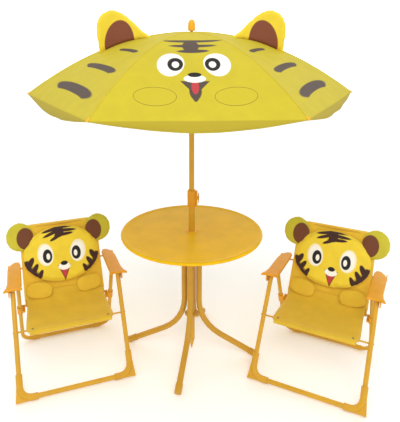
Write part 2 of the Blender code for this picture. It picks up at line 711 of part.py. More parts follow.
def back_outline(grow, low):
    """Outline of the back sleeve in (x, reach along the upper back)."""
    top = (Vector(BACK_TOP) - Vector(ARM_BACK)).length + BACK_TUBE + 0.0005 + grow
    edge = BACK_X + BACK_TUBE + 0.0006 + grow
    shoulder = BACK_TOP_X - 0.016
    right = [(edge, low), (edge, 0.004)]
    corner = [(shoulder + (0.036 + grow) * math.sin(math.radians(a)),
               top - 0.042 + 0.042 * math.cos(math.radians(a))) for a in range(75, -1, -15)]
    half = right + corner
    return half + [(-x, s) for x, s in reversed(half)]


def bent_to_back(obj, offset):
    """Lay a flat piece (x, reach, normal) against the back, which bends at the armrest pivot."""
    upper = (Vector(BACK_TOP) - Vector(ARM_BACK)).normalized()
    lower = (Vector(ARM_BACK) - Vector(SEAT_BACK)).normalized()
    for vertex in obj.data.vertices:
        x, reach, out = vertex.co
        way = upper if reach >= 0 else lower
        place = Vector(ARM_BACK) + way * reach + Vector((-way.y, way.x)) * (out + offset)
        vertex.co = (x, place.x, place.y)
    return obj


def sheet_on_back(name, outline, thick, lift):
    """Slab in back coordinates with a row of points on the bend line."""
    piece = slab(name, outline, thick)
    cage = bmesh.new()
    cage.from_mesh(piece.data)
    geom = list(cage.verts) + list(cage.edges) + list(cage.faces)
    bmesh.ops.bisect_plane(cage, geom=geom, plane_co=(0, 0, 0), plane_no=(0, 1, 0))
    bmesh.ops.triangulate(cage, faces=[f for f in cage.faces if len(f.verts) > 4])
    cage.to_mesh(piece.data)
    cage.free()
    moved(piece, Matrix.Translation((0, 0, lift)))
    return piece


def back_fabric(name):
    """Back sleeve: a flat pocket, open at the bottom, that slips over the back frame."""
    low = -(Vector(ARM_BACK) - Vector(SEAT_BACK)).length + 0.016
    half = BACK_TUBE + 0.0006
    outer = sheet_on_back(name, back_outline(CLOTH, low), 2 * (half + CLOTH), -half - CLOTH)
    inner = sheet_on_back("pocket", back_outline(0, low - 0.02), 2 * half, -half)
    sleeve = cut(bent_to_back(outer, 0), bent_to_back(inner, 0))
    return cut(sleeve, *cross_pin(ARM_BACK, BACK_X, BACK_X + 0.02, PIN + 0.0015))


def oval(centre, radii, steps=24):
    """Outline of an ellipse."""
    turns = [2 * math.pi * i / steps for i in range(steps)]
    return [(centre[0] + radii[0] * math.cos(a), centre[1] + radii[1] * math.sin(a)) for a in turns]


def pad(name, outline, thick, lift):
    """Padded piece on the front of the back sleeve."""
    piece = sheet_on_back(name, outline, thick, lift)
    return bent_to_back(piece, 0)


def head_cushion(name):
    """Round padded head with its two ears."""
    lift = BACK_TUBE + CLOTH + 0.0012
    head = pad(name, oval((0, 0.034), (0.147, 0.114), 24), 0.022, lift)
    ears = [pad("ear", oval((s * 0.146, 0.115), (0.050, 0.054), 16), 0.014, lift + 0.002) for s in (-1, 1)]
    return union(head, *ears)


def paw(name, side):
    """Padded paw below the head."""
    outline = oval((side * 0.090, -0.103), (0.046, 0.0200), 16)
    return pad(name, outline, 0.018, BACK_TUBE + CLOTH + 0.0010)


def build_chair(prefix, place):
    """All pieces of one chair, on the empties of its folding linkage."""
    x, y, yaw = place
    chair = body(prefix + "_chair", (x, y, 0), None, yaw)
    label = prefix + "_chair_"
    attach(front_frame(label + "front_frame"), chair, PAINT)
    seat = body(label + "seat_body", at(0, SEAT_FRONT), chair)
    attach(seat_frame(label + "seat_frame"), seat, PAINT)
    attach(seat_fabric(label + "seat_fabric"), seat, CLOTH_GOLD)
    back = body(label + "back_body", at(0, SEAT_BACK), seat)
    attach(back_frame(label + "back_frame"), back, PAINT)
    attach(back_fabric(label + "back_fabric"), back, CLOTH_GOLD)
    attach(head_cushion(label + "head_cushion"), back, CLOTH_GOLD)
    arms = body(label + "arms_body", at(0, ARM_FRONT), chair)
    rear = body(label + "rear_body", at(0, ARM_REAR), arms)
    attach(rear_frame(label + "rear_frame"), rear, PAINT)
    for side, word in ((-1, "left"), (1, "right")):
        attach(front_foot(label + "front_foot_" + word, side), chair, DARK)
        attach(knuckle(label + "knuckle_" + word, side), rear, ORANGE)
        attach(armrest(label + "armrest_" + word, side), arms, ORANGE)
        attach(paw(label + "paw_" + word, side), back, CLOTH_GOLD)


def build():
    """The whole set."""
    start_scene()
    table = build_table()
    build_umbrella(table)
    build_chair("left", CHAIR_LEFT)
    build_chair("right", CHAIR_RIGHT)


build()
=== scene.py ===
# %% [markdown]
# # A children's table with an umbrella and two folding armchairs
# The steel frames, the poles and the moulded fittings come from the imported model, and only get
# their finishes here. Everything sewn is made in this file: the canopy, its ears, the seat and back
# sleeves, and the stuffed animal heads with their paws.

# %% Load the frame
import json
import math

import bmesh
import bpy
from mathutils import Matrix, Vector, noise


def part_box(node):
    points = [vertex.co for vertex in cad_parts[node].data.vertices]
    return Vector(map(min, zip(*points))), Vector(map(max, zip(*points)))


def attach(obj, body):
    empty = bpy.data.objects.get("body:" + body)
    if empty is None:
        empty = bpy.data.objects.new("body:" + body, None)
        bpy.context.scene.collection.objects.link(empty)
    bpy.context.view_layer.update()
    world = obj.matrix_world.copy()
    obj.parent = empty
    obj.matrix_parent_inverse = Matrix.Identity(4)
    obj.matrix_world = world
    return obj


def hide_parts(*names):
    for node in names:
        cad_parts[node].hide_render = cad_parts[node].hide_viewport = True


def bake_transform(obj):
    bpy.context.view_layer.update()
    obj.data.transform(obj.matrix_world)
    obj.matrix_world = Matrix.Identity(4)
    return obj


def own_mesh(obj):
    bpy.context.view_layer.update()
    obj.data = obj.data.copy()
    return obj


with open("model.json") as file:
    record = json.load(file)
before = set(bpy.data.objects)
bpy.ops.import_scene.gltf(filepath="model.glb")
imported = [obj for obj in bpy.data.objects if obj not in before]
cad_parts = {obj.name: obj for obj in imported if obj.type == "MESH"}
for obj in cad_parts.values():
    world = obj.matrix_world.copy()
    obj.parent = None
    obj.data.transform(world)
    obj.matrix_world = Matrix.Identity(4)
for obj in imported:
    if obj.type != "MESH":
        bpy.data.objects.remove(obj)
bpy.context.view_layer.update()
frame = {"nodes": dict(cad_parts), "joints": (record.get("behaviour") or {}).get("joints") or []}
joints = {joint["name"]: joint for joint in frame["joints"]}

# %% [markdown]
# ## Working tools
# A material is a small network of nodes. One helper adds a node, sets it up and links it, so each
# recipe below reads as a list of what is done to the colour or the surface.


# %% Colours and nodes
def linear(code):
    """Turn an sRGB hex colour such as e2aa32 into linear RGBA."""
    channels = [int(code[i:i + 2], 16) / 255 for i in (0, 2, 4)]
    return [c / 12.92 if c <= 0.04045 else ((c + 0.055) / 1.055) ** 2.4 for c in channels] + [1.0]


def add(tree, kind, inputs=None, **settings):
    """Add a node; an input is given a value, or a socket to link from."""
    made = tree.nodes.new("ShaderNode" + kind)
    for key, value in settings.items():
        setattr(made, key, value)
    for key, value in (inputs or {}).items():
        if isinstance(value, bpy.types.NodeSocket):
            tree.links.new(value, made.inputs[key])
        else:
            made.inputs[key].default_value = value
    return made


def new_material(name):
    """A material with its tree, its shader and the object coordinates in metres."""
    material = bpy.data.materials.new(name)
    material.use_nodes = True
    tree = material.node_tree
    shader = tree.nodes["Principled BSDF"]
    place = add(tree, "TexCoord").outputs["Object"]
    return material, tree, shader, place


def tinted(tree, place, code, amount, size):
    """Colour that drifts a little lighter and darker over patches of a given size in metres."""
    cloud = add(tree, "TexNoise", {"Vector": place, "Scale": 1 / size, "Detail": 3.0})
    value = add(tree, "MapRange", {"Value": cloud.outputs["Fac"], "From Min": 0.3, "From Max": 0.7,
                                   "To Min": 1 - amount, "To Max": 1 + amount})
    shade = add(tree, "HueSaturation", {"Color": linear(code), "Value": value.outputs["Result"]})
    return shade.outputs["Color"]


# %% [markdown]
# ## Finishes of the hard parts
# Enamel is baked paint on steel: even colour, a soft gloss with a clear skin, and a faint ripple
# that is called orange peel. Moulded ABS has a fine grain from its mould and no clear skin.


# %% Enamel and moulded plastic
PEEL = 0.0025          # width of the paint's ripples, metres
GRAIN = 0.0012         # mould grain, drawn about four times too coarse so that it shows


def enamel(name, code, roughness=0.38, shine=0.3):
    """Baked paint on steel; shine is how much it mirrors."""
    material, tree, shader, place = new_material(name)
    tree.links.new(tinted(tree, place, code, 0.06, 0.07), shader.inputs["Base Color"])
    ripple = add(tree, "TexNoise", {"Vector": place, "Scale": 1 / PEEL, "Detail": 1.0})
    bump = add(tree, "Bump", {"Height": ripple.outputs["Fac"], "Strength": 0.12, "Distance": 0.0004})
    tree.links.new(bump.outputs["Normal"], shader.inputs["Normal"])
    smear = add(tree, "TexNoise", {"Vector": place, "Scale": 22.0, "Detail": 4.0})
    gloss = add(tree, "MapRange", {"Value": smear.outputs["Fac"], "To Min": roughness - 0.06,
                                   "To Max": roughness + 0.10})
    tree.links.new(gloss.outputs["Result"], shader.inputs["Roughness"])
    shader.inputs["Coat Weight"].default_value = 0.2 * shine
    shader.inputs["Coat Roughness"].default_value = 0.18
    shader.inputs["Specular IOR Level"].default_value = shine
    return material


def moulded(name, code, roughness=0.42):
    """Injection-moulded ABS."""
    material, tree, shader, place = new_material(name)
    tree.links.new(tinted(tree, place, code, 0.05, 0.04), shader.inputs["Base Color"])
    grain = add(tree, "TexNoise", {"Vector": place, "Scale": 1 / GRAIN, "Detail": 2.0})
    bump = add(tree, "Bump", {"Height": grain.outputs["Fac"], "Strength": 0.18, "Distance": 0.0003})
    tree.links.new(bump.outputs["Normal"], shader.inputs["Normal"])
    shader.inputs["Roughness"].default_value = roughness
    shader.inputs["IOR"].default_value = 1.53
    shader.inputs["Specular IOR Level"].default_value = 0.25
    return material


# Tubes, legs and top come in three yellows: golden, a deeper ochre and a brighter amber. The plain
# wires of the umbrella are grey, and the moulded fittings are a little more orange than the steel.
tube_enamel = enamel("golden_enamel_on_steel_tube", "d6a32c")
leg_enamel = enamel("ochre_enamel_on_steel_tube", "c9982a")
top_enamel = enamel("amber_enamel_on_pressed_steel", "edbb14", 0.46, 0.10)
rib_enamel = enamel("grey_paint_on_steel_wire", "b9b6ac", 0.4)
orange_abs = moulded("orange_moulded_abs", "e29d1c")
amber_abs = moulded("amber_moulded_abs", "f2b22a")
ochre_abs = moulded("ochre_moulded_abs", "d6a22c")
brown_abs = moulded("brown_moulded_abs", "4a2c12", 0.5)
steel_rivet = enamel("dull_plated_rivet", "6d6350", 0.35)

# %% Give every carried-over node its finish
finishes = {"armrest": orange_abs, "knuckle": orange_abs, "front_foot": ochre_abs, "rib_": rib_enamel,
            "stretcher": rib_enamel, "runner": brown_abs, "hub_ring": leg_enamel, "crown": amber_abs,
            "finial": amber_abs, "pole_collar": orange_abs, "thumb_screw": orange_abs,
            "pole_grommet": amber_abs, "table_top": top_enamel, "table_leg": leg_enamel,
            "top_plate": leg_enamel}
for name, made in frame["nodes"].items():
    words = [word for word in finishes if word in name]
    piece = made if isinstance(made, bpy.types.Object) else bpy.data.objects[name]
    piece.data.materials.clear()
    piece.data.materials.append(finishes[words[0]] if words else tube_enamel)
print("finished", len(frame["nodes"]), "CAD nodes")

# %% [markdown]
# ## Cloth
# The canopy and the sleeves are plain-woven polyester, a dull cloth whose threads cross one over
# one. Real threads are about 0.4 mm apart. Here they are drawn at 1.6 mm so that they show, as two
# crossed waves. The print is drawn with ovals and wedges that are placed in metres on a flat copy
# of the sheet, which each piece keeps as the UV map called print.

# %% Woven cloth and print shapes
THREAD = 0.0016


def hem_place(tree):
    """Outputs X, the distance from the nearest hem, and Y, the way along it, in metres."""
    return add(tree, "SeparateXYZ", {0: add(tree, "UVMap", uv_map="hem").outputs["UV"]})


def stitches(tree, inset=0.005, pitch=0.0045):
    """1 on the dashes of a seam that runs beside a hem."""
    hem = hem_place(tree)
    off = add(tree, "Math", {0: hem.outputs["X"], 1: inset}, operation="SUBTRACT")
    near = add(tree, "Math", {0: off.outputs[0]}, operation="ABSOLUTE")
    line = add(tree, "MapRange", {"Value": near.outputs[0], "From Min": 0.0009, "From Max": 0.0004})
    beat = add(tree, "Math", {0: hem.outputs["Y"], 1: pitch}, operation="DIVIDE")
    dash = add(tree, "Math", {0: beat.outputs[0]}, operation="FRACT")
    on = add(tree, "Math", {0: dash.outputs[0], 1: 0.68}, operation="LESS_THAN")
    sewn = add(tree, "Math", {0: line.outputs["Result"], 1: on.outputs[0]}, operation="MULTIPLY")
    return sewn.outputs[0]


def woven(name, code, patches=(), sheen=0.08, drift=0.05, thread=None, painted_valance_shade=None):
    """Plain-woven polyester with patches of print or painted shadow; thread sews its hems, and the last
    colour is painted shade laid on the valance below the fold.
    """
    material, tree, shader, place = new_material(name)
    colour = tinted(tree, place, code, drift, 0.05)
    flat = add(tree, "UVMap", uv_map="print").outputs["UV"]
    sewn = stitches(tree) if thread else None
    if painted_valance_shade:                             # the fold is where the valance of the canopy starts
        # painted shade: the hanging valance is darkened to stand for the shade it gets from light above
        fold = add(tree, "MapRange", {"Value": hem_place(tree).outputs["X"], "From Min": 0.0285,
                                      "From Max": 0.0265})
        colour = mix_colour(tree, fold.outputs["Result"], colour, painted_valance_shade)
    if thread:
        colour = mix_colour(tree, sewn, colour, thread)
    for shape, values, ink in patches:
        colour = mix_colour(tree, shape(tree, flat, *values), colour, ink)
    tree.links.new(colour, shader.inputs["Base Color"])
    weave = None
    for direction in ("X", "Y"):
        wave = add(tree, "TexWave", {"Vector": flat, "Scale": 1 / (THREAD * 6.3), "Distortion": 0.3},
                   bands_direction=direction)
        crossed = {0: 1.0 if weave is None else weave, 1: wave.outputs["Fac"]}
        weave = add(tree, "Math", crossed, operation="MULTIPLY").outputs[0]
    crumple = add(tree, "TexNoise", {"Vector": place, "Scale": 26.0, "Detail": 3.0})
    height = add(tree, "Math", {0: crumple.outputs["Fac"], 1: 2.2, 2: weave}, operation="MULTIPLY_ADD")
    if thread:
        height = add(tree, "Math", {0: sewn, 1: 3.0, 2: height.outputs[0]}, operation="MULTIPLY_ADD")
    bump = add(tree, "Bump", {"Height": height.outputs[0], "Strength": 0.35, "Distance": 0.0008})
    tree.links.new(bump.outputs["Normal"], shader.inputs["Normal"])
    shader.inputs["Roughness"].default_value = 0.78
    shader.inputs["Sheen Weight"].default_value = sheen
    shader.inputs["Sheen Roughness"].default_value = 0.5
    return material


def mix_colour(tree, mask, colour, ink):
    """Lay one ink over a colour where the mask is 1."""
    made = tree.nodes.new("ShaderNodeMix")
    made.data_type = "RGBA"
    tree.links.new(mask, made.inputs[0])
    tree.links.new(colour, made.inputs[6])
    made.inputs[7].default_value = linear(ink)
    return made.outputs[2]


def oval(tree, flat, centre, radii, turn=0.0, soft=0.05):
    """1 inside an ellipse."""
    local = add(tree, "Mapping", {"Vector": flat, "Location": (*centre, 0), "Scale": (*radii, 1),
                                  "Rotation": (0, 0, math.radians(turn))}, vector_type="TEXTURE")
    reach = add(tree, "VectorMath", {0: local.outputs[0]}, operation="LENGTH")
    mask = add(tree, "MapRange", {"Value": reach.outputs["Value"], "From Min": 1 + soft,
                                  "From Max": 1 - soft})
    return mask.outputs["Result"]


def crescent(tree, flat, centre, radii, hollow_centre, hollow_radii):
    """1 inside one ellipse but outside another."""
    whole = oval(tree, flat, centre, radii)
    hollow = oval(tree, flat, hollow_centre, hollow_radii)
    left = add(tree, "Math", {0: whole, 1: hollow}, operation="SUBTRACT")
    return add(tree, "Math", {0: left.outputs[0], 1: 0.0}, operation="MAXIMUM").outputs[0]


def wedge(tree, flat, tip, height, half, turn=0.0):
    """1 inside a triangle that stands on its tip and opens upwards."""
    local = add(tree, "Mapping", {"Vector": flat, "Location": (*tip, 0), "Scale": (half, height, 1),
                                  "Rotation": (0, 0, math.radians(turn))}, vector_type="TEXTURE")
    axes = add(tree, "SeparateXYZ", {0: local.outputs[0]})
    side = add(tree, "Math", {0: axes.outputs["X"]}, operation="ABSOLUTE")
    slope = add(tree, "Math", {0: axes.outputs["Y"], 1: side.outputs[0]}, operation="SUBTRACT")
    lid = add(tree, "Math", {0: 1.0, 1: axes.outputs["Y"]}, operation="SUBTRACT")
    inside = add(tree, "Math", {0: slope.outputs[0], 1: lid.outputs[0]}, operation="MINIMUM")
    mask = add(tree, "MapRange", {"Value": inside.outputs[0], "From Min": -0.03, "From Max": 0.03})
    return mask.outputs["Result"]


# %% [markdown]
# ## Print of the canopy
# A simple tiger face looks out of the front gore, and leaf-shaped stripes run down its neighbours.
# Places are (across, to the back) in metres from the pole.

# %% Canopy print
INK, BARK, CREAM, RED = "14100f", "54443a", "fbf8ee", "c03a40"
LEMON = "cab820"                            # dye of the canopy


def both_sides(shape, centre, *rest, ink, about=0.0):
    """The same patch left and right of a middle; the second value of rest is a turn in degrees."""
    left = [rest[0], -rest[1], *rest[2:]]
    return [(shape, ((about + centre[0], centre[1]), *rest), ink),
            (shape, ((about - centre[0], centre[1]), *left), ink)]


MIDDLE = -0.0045                            # the face sits a little left of the pole
canopy_print = []
for reach, half in ((-0.153, 0.086), (-0.188, 0.068), (-0.221, 0.045)):
    canopy_print.append((oval, ((MIDDLE, reach), (half, 0.0100), 2.0, 0.10), BARK))
canopy_print.append((oval, ((MIDDLE - 0.006, -0.189), (0.024, 0.040), 0.0, 0.08), BARK))
canopy_print += both_sides(oval, (0.0630, -0.286), (0.0369, 0.0502), 6.0, 0.03, ink=CREAM, about=MIDDLE)
canopy_print += both_sides(oval, (0.0507, -0.287), (0.0213, 0.0288), 0.0, 0.04, ink=INK, about=MIDDLE)
canopy_print += both_sides(oval, (0.0502, -0.289), (0.0099, 0.0139), 0.0, 0.08, ink=CREAM, about=MIDDLE)
canopy_print.append((wedge, ((MIDDLE, -0.399), 0.046, 0.039), BARK))
canopy_print.append((oval, ((MIDDLE, -0.384), (0.0160, 0.0280), 0.0, 0.06), BARK))
canopy_print.append((oval, ((MIDDLE, -0.400), (0.0085, 0.0170), 0.0, 0.08), BARK))
canopy_print.append((oval, ((MIDDLE, -0.372), (0.0098, 0.0230)), RED))
canopy_print.append((oval, ((MIDDLE, -0.3445), (0.0290, 0.0140)), CREAM))
canopy_print.append((oval, ((MIDDLE, -0.3303), (0.0180, 0.0088)), INK))
for ink, grow in (("6e5c18", 0.0), (LEMON, -0.0012)):       # cheeks are drawn as thin outlines
    canopy_print += both_sides(oval, (0.103, -0.4010), (0.0550 + grow, 0.0275 + grow), 3.0, 0.006, ink=ink,
                               about=MIDDLE)
for place, radii, turn in (((0.194, -0.126), (0.066, 0.0110), 62.0),
                           ((0.272, -0.176), (0.112, 0.0150), 62.0),
                           ((0.346, -0.219), (0.145, 0.0190), 61.5)):
    canopy_print += both_sides(oval, place, radii, turn, 0.06, ink=BARK)
    bite = (place[0] + 0.80 * radii[1], place[1] - 0.42 * radii[1])       # stripes curve like claws
    canopy_print += both_sides(oval, bite, (radii[0] * 0.80, radii[1] * 0.50), turn, 0.08, ink=LEMON)
# the last colour, b4a01e, is painted shade on the canopy's valance
canopy_cloth = woven("printed_lemon_polyester_canopy", LEMON, canopy_print, 0.02, 0.04, "a8952a", "b4a01e")
canopy_ear_print = [(oval, ((0.012, -0.016), (0.047, 0.074), 4.0, 0.02), "80432a")]
canopy_ear_cloth = woven("golden_polyester_canopy_ear", "ecd030", canopy_ear_print)

# %% [markdown]
# ## Mesh helpers
# Sheets are grids that a function bends into place. The helper also writes the flat place of each
# point into the print map, so a pattern stays put on the cloth when the piece folds.


# %% Sheets
def finished(obj, material, body, slot, *nodes):
    """Take a finish, ride on a body if one is given, and stand for CAD nodes."""
    obj.data.materials.clear()
    obj.data.materials.append(material)
    obj.data.shade_smooth()
    if body:
        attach(obj, body)
    if nodes:
        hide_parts(*nodes)
    return obj


def mesh_object(name, cage):
    """Object from a bmesh."""
    mesh = bpy.data.meshes.new(name)
    cage.to_mesh(mesh)
    cage.free()
    obj = bpy.data.objects.new(name, mesh)
    bpy.context.scene.collection.objects.link(obj)
    return obj


def grid(name, columns, rows, place, flat, hem=None):
    """Sheet of columns by rows; place, flat and hem take two shares from 0 to 1."""
    cage = bmesh.new()
    layer = cage.loops.layers.uv.new("print")
    hems = cage.loops.layers.uv.new("hem")
    knots = [[cage.verts.new(place(i / columns, j / rows)) for i in range(columns + 1)]
             for j in range(rows + 1)]
    for j in range(rows):
        for i in range(columns):
            corners = ((i, j), (i + 1, j), (i + 1, j + 1), (i, j + 1))
            face = cage.faces.new([knots[b][a] for a, b in corners])
            for loop, (a, b) in zip(face.loops, corners):
                loop[layer].uv = flat(a / columns, b / rows)
                loop[hems].uv = hem(a / columns, b / rows) if hem else (1.0, 0.0)
    return mesh_object(name, cage)


def applied(obj):
    """Apply the modifiers of an object."""
    graph = bpy.context.evaluated_depsgraph_get()
    mesh = bpy.data.meshes.new_from_object(obj.evaluated_get(graph))
    obj.modifiers.clear()
    obj.data = mesh
    return obj


def thickened(obj, thickness):
    """Give a sheet its thickness, downwards from its face."""
    shell = obj.modifiers.new("cloth", "SOLIDIFY")
    shell.thickness = thickness
    shell.offset = -1
    return applied(obj)


# %% [markdown]
# ## Canopy
# On the real umbrella six gores are sewn together and pulled tight between the ribs. When the ribs
# drop, the cloth between them folds in towards each rib. So each piece here is the cloth that
# belongs to one rib, from the middle of one gore to the middle of the next. It rides on that rib.

# %% Canopy pieces
RIBS = 6
DROP = 0.69                                 # height lost per square metre of radius
canopy_low, canopy_high = (Vector(corner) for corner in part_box("canopy"))
pole = sum(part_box("upper_pole"), Vector()) / 2      # the axis of the umbrella
rib_turn = []
for index in range(RIBS):
    hinge = Vector(joints[f"rib_{index + 1}_fold"]["pos_m"]) - pole
    rib_turn.append(math.atan2(hinge.y, hinge.x))
canopy_turn = rib_turn[0] + math.pi / 2 - math.pi / RIBS
canopy_radius = (canopy_high.y - canopy_low.y) / 2 / math.cos(math.pi / RIBS - canopy_turn)
VALANCE = 0.028                             # depth of the flap that hangs from the rim
HOLE = 0.0078                               # radius left open for the pole
ACROSS, ALONG = 28, 60                      # steps of the grid of one piece
FOLD_SHARE = 0.90                           # part of a piece's length that lies on the canopy
print("canopy radius", round(canopy_radius, 4), "turn", round(math.degrees(canopy_turn), 2))


def canopy_point(turn, across, along):
    """Point about the pole; across runs from -0.5 to 0.5 gore, along from the crown over the rim."""
    radius = HOLE + (canopy_radius - HOLE) * min(1.0, along / FOLD_SHARE)
    hem = max(0.0, along - FOLD_SHARE) / (1 - FOLD_SHARE)
    step = 2 * math.pi / RIBS
    share = abs(across)
    side = math.copysign(1, across)
    first = Vector((math.cos(turn), math.sin(turn), 0)) * radius
    second = Vector((math.cos(turn + side * step), math.sin(turn + side * step), 0)) * radius
    place = first.lerp(second, share)
    bow = math.sin(math.pi * share)
    outward = place.normalized()
    crumple = noise.noise(Vector((place.x * 7, place.y * 7, 3.7)))
    ripple = noise.noise(Vector((place.x * 16, place.y * 16, 8.1 + 1.5 * hem)))
    flare = 0.005 * hem + 0.004 * math.sin(math.pi * hem) + 0.006 * ripple * hem
    place += outward * bow * flare
    rib_ridge = 0.0007 * math.exp(-(share * radius / 0.005) ** 2)
    slack = 0.0030 * bow * math.sin(math.pi * radius / canopy_radius)
    place.z = canopy_high.z - 0.0007 - DROP * radius * radius - hem * (0.002 + VALANCE * bow)
    place.z += 0.0012 * crumple * bow + rib_ridge - slack
    return place


def canopy_piece(index):
    """Cloth that belongs to one rib."""
    turn = rib_turn[index]
    middle = ACROSS / 2                     # the columns lie closer together near the rib
    spread = [math.copysign(abs(i / middle - 1) ** 1.25, i - middle) / 2 for i in range(ACROSS + 1)]
    base = Vector((pole.x, pole.y, 0))
    cos, sin = math.cos(canopy_turn), math.sin(canopy_turn)

    def place(u, v):
        return base + canopy_point(turn, spread[round(u * ACROSS)], v)

    def flat(u, v):
        point = place(u, v) - base
        return (point.x * cos + point.y * sin, point.y * cos - point.x * sin)

    def hem(u, v):
        return ((1 - v) / (1 - FOLD_SHARE) * VALANCE if v > 0.8 else 1.0,
                spread[round(u * ACROSS)] * canopy_radius)

    piece = grid(f"canopy_gore_{index + 1}", ACROSS, ALONG, place, flat, hem)
    finished(piece, canopy_cloth, f"rib_{index + 1}", "canopy_fabric", "canopy")
    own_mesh(piece)
    return piece


gores = [canopy_piece(index) for index in range(RIBS)]
print("canopy pieces", len(gores), "faces", sum(len(piece.data.polygons) for piece in gores))


# %% [markdown]
# Over each rib runs a bound seam, and a moulded tip caps the end of the rib. Both are thin round
# cords through a row of points, and the piping and rivets of the chairs are made the same way.

# %% Cords of stitching and piping
def line(name, points, radius, material, body, slot, cyclic=False, sides=3):
    """Round cord through points, as a mesh."""
    curve = bpy.data.curves.new(name, "CURVE")
    curve.dimensions = "3D"
    curve.bevel_depth = radius
    curve.bevel_resolution = sides
    curve.use_fill_caps = True
    run = curve.splines.new("POLY")
    run.points.add(len(points) - 1)
    for knot, point in zip(run.points, points):
        knot.co = (*point, 1)
    run.use_cyclic_u = cyclic
    strand = bpy.data.objects.new(name, curve)
    bpy.context.scene.collection.objects.link(strand)
    mesh = bpy.data.meshes.new_from_object(strand.evaluated_get(bpy.context.evaluated_depsgraph_get()))
    bpy.data.objects.remove(strand)
    obj = bpy.data.objects.new(name, mesh)
    bpy.context.scene.collection.objects.link(obj)
    return finished(obj, material, body, slot)


binding = woven("lemon_polyester_binding", "cdb92c", drift=0.03)
for index in range(RIBS):
    base = Vector((pole.x, pole.y, 0))
    seam = [base + canopy_point(rib_turn[index], 0.0, 0.03 + 0.87 * k / 40) for k in range(41)]
    line(f"canopy_seam_{index + 1}", seam, 0.0011, binding, f"rib_{index + 1}", "canopy_fabric")
    tip = base + canopy_point(rib_turn[index], 0.0, FOLD_SHARE)
    outward = Vector((math.cos(rib_turn[index]), math.sin(rib_turn[index]), -0.55)).normalized()
    line(f"rib_tip_{index + 1}", [tip - outward * 0.010, tip + outward * 0.001, tip + outward * 0.0025],
         0.0030, amber_abs, f"rib_{index + 1}", "moulded_plastic")
print("seams and tips", RIBS)

# %% [markdown]
# ## Stuffed pieces
# The ears, the animal heads and the paws are two flat cuts of cloth, sewn together round their edge
# and filled with fibre. So each starts as a thin flat blank of its outline, is blown up a little by
# a cloth simulation, and is then laid in its place. The blank's own plane is kept as the print map.


# %% Stuffing
def ellipse(centre, radii, steps=48, power=2.0):
    """Outline of an ellipse; a power above 2 squares it up."""
    points = []
    for k in range(steps):
        angle = 2 * math.pi * k / steps
        cos, sin = math.cos(angle), math.sin(angle)
        points.append((centre[0] + radii[0] * math.copysign(abs(cos) ** (2 / power), cos),
                       centre[1] + radii[1] * math.copysign(abs(sin) ** (2 / power), sin)))
    return points


def swollen(obj, cap, pressure):
    """Blow the blank up as cloth; no point moves further than the cap."""
    before = [v.co.copy() for v in obj.data.vertices]
    cloth = obj.modifiers.new("filling", "CLOTH")
    cloth.settings.quality = 5
    cloth.settings.mass = 0.25
    cloth.settings.use_pressure = True
    cloth.settings.uniform_pressure_force = pressure
    cloth.settings.effector_weights.gravity = 0
    cloth.point_cache.frame_start, cloth.point_cache.frame_end = 1, 20
    for frame_number in range(1, 21):
        bpy.context.scene.frame_set(frame_number)
    applied(obj)
    bpy.context.scene.frame_set(1)
    for vertex, old in zip(obj.data.vertices, before):
        move = vertex.co - old
        vertex.co = old + move * min(1.0, cap / max(move.length, 1e-9))
    return obj


def stuffed(name, outline, thick, cap, voxel=0.0045, pressure=4.0):
    """Filled blank in the XY plane with its front at +Z, and its print map."""
    cage = bmesh.new()
    rings = [[cage.verts.new((x, y, z)) for x, y in outline] for z in (-thick / 2, thick / 2)]
    cage.faces.new(rings[1])
    cage.faces.new(reversed(rings[0]))
    for k in range(len(outline)):
        n = (k + 1) % len(outline)
        cage.faces.new((rings[0][k], rings[0][n], rings[1][n], rings[1][k]))
    obj = mesh_object(name, cage)
    remesh = obj.modifiers.new("voxels", "REMESH")
    remesh.mode = "VOXEL"
    remesh.voxel_size = voxel
    applied(obj)
    swollen(obj, cap, pressure)
    smooth = obj.modifiers.new("relax", "SMOOTH")
    smooth.iterations = 6
    smooth.factor = 0.5
    rounder = obj.modifiers.new("rounder", "SUBSURF")
    rounder.levels = rounder.render_levels = 1
    applied(obj)
    layer = obj.data.uv_layers.new(name="print")
    for face in obj.data.polygons:
        shift = 3.0 if face.normal.z < -0.2 else 0.0
        for loop in face.loop_indices:
            point = obj.data.vertices[obj.data.loops[loop].vertex_index].co
            layer.data[loop].uv = (point.x + shift, point.y)
    high = max(v.co.z for v in obj.data.vertices)
    print("stuffed", name, "half thickness", round(high * 1000, 1), "mm,", len(obj.data.polygons), "faces")
    return obj


def copy_of(obj, name):
    """Second object with a mesh of its own."""
    twin = obj.copy()
    twin.data = obj.data.copy()
    twin.name = name
    bpy.context.scene.collection.objects.link(twin)
    return twin


def rim_path(obj, count=96):
    """Closed line round the widest part of a filled blank."""
    reach = [(0.0, Vector())] * count
    for vertex in obj.data.vertices:
        slot = int((math.atan2(vertex.co.y, vertex.co.x) / (2 * math.pi) % 1.0) * count) % count
        far = math.hypot(vertex.co.x, vertex.co.y)
        if far > reach[slot][0]:
            reach[slot] = (far, vertex.co.copy())
    points = []
    for k in range(count):
        near = [reach[(k + d) % count][1] for d in (-2, -1, 0, 1, 2)]
        points.append(sum(near, Vector()) / 5)
    return points


# %% [markdown]
# An ear of the canopy stands on its rib. It is upright on its outer side, slopes down to the pole
# and is cut off along the canopy. It leans back a little, as a light stuffed piece does.

# %% Canopy ears
EAR_CENTRE = (0.219, 1.150)                 # distance from the pole and height
EAR_SINK = 0.010                            # depth of the ear that is sewn in under the seam


def canopy_height(radius):
    """Height of the canopy along a rib."""
    return canopy_high.z - DROP * radius * radius


def smooth_run(knots, steps=8):
    """Points of a smooth line through knots in a plane."""
    points = []
    for k in range(len(knots) - 1):
        a, b, c, d = (Vector(knots[min(max(k + near, 0), len(knots) - 1)]) for near in (-1, 0, 1, 2))
        for step in range(steps):
            t = step / steps
            points.append(0.5 * (2 * b + (c - a) * t + (2 * a - 5 * b + 4 * c - d) * t * t
                                 + (3 * b - a - 3 * c + d) * t ** 3))
    return points + [Vector(knots[-1])]


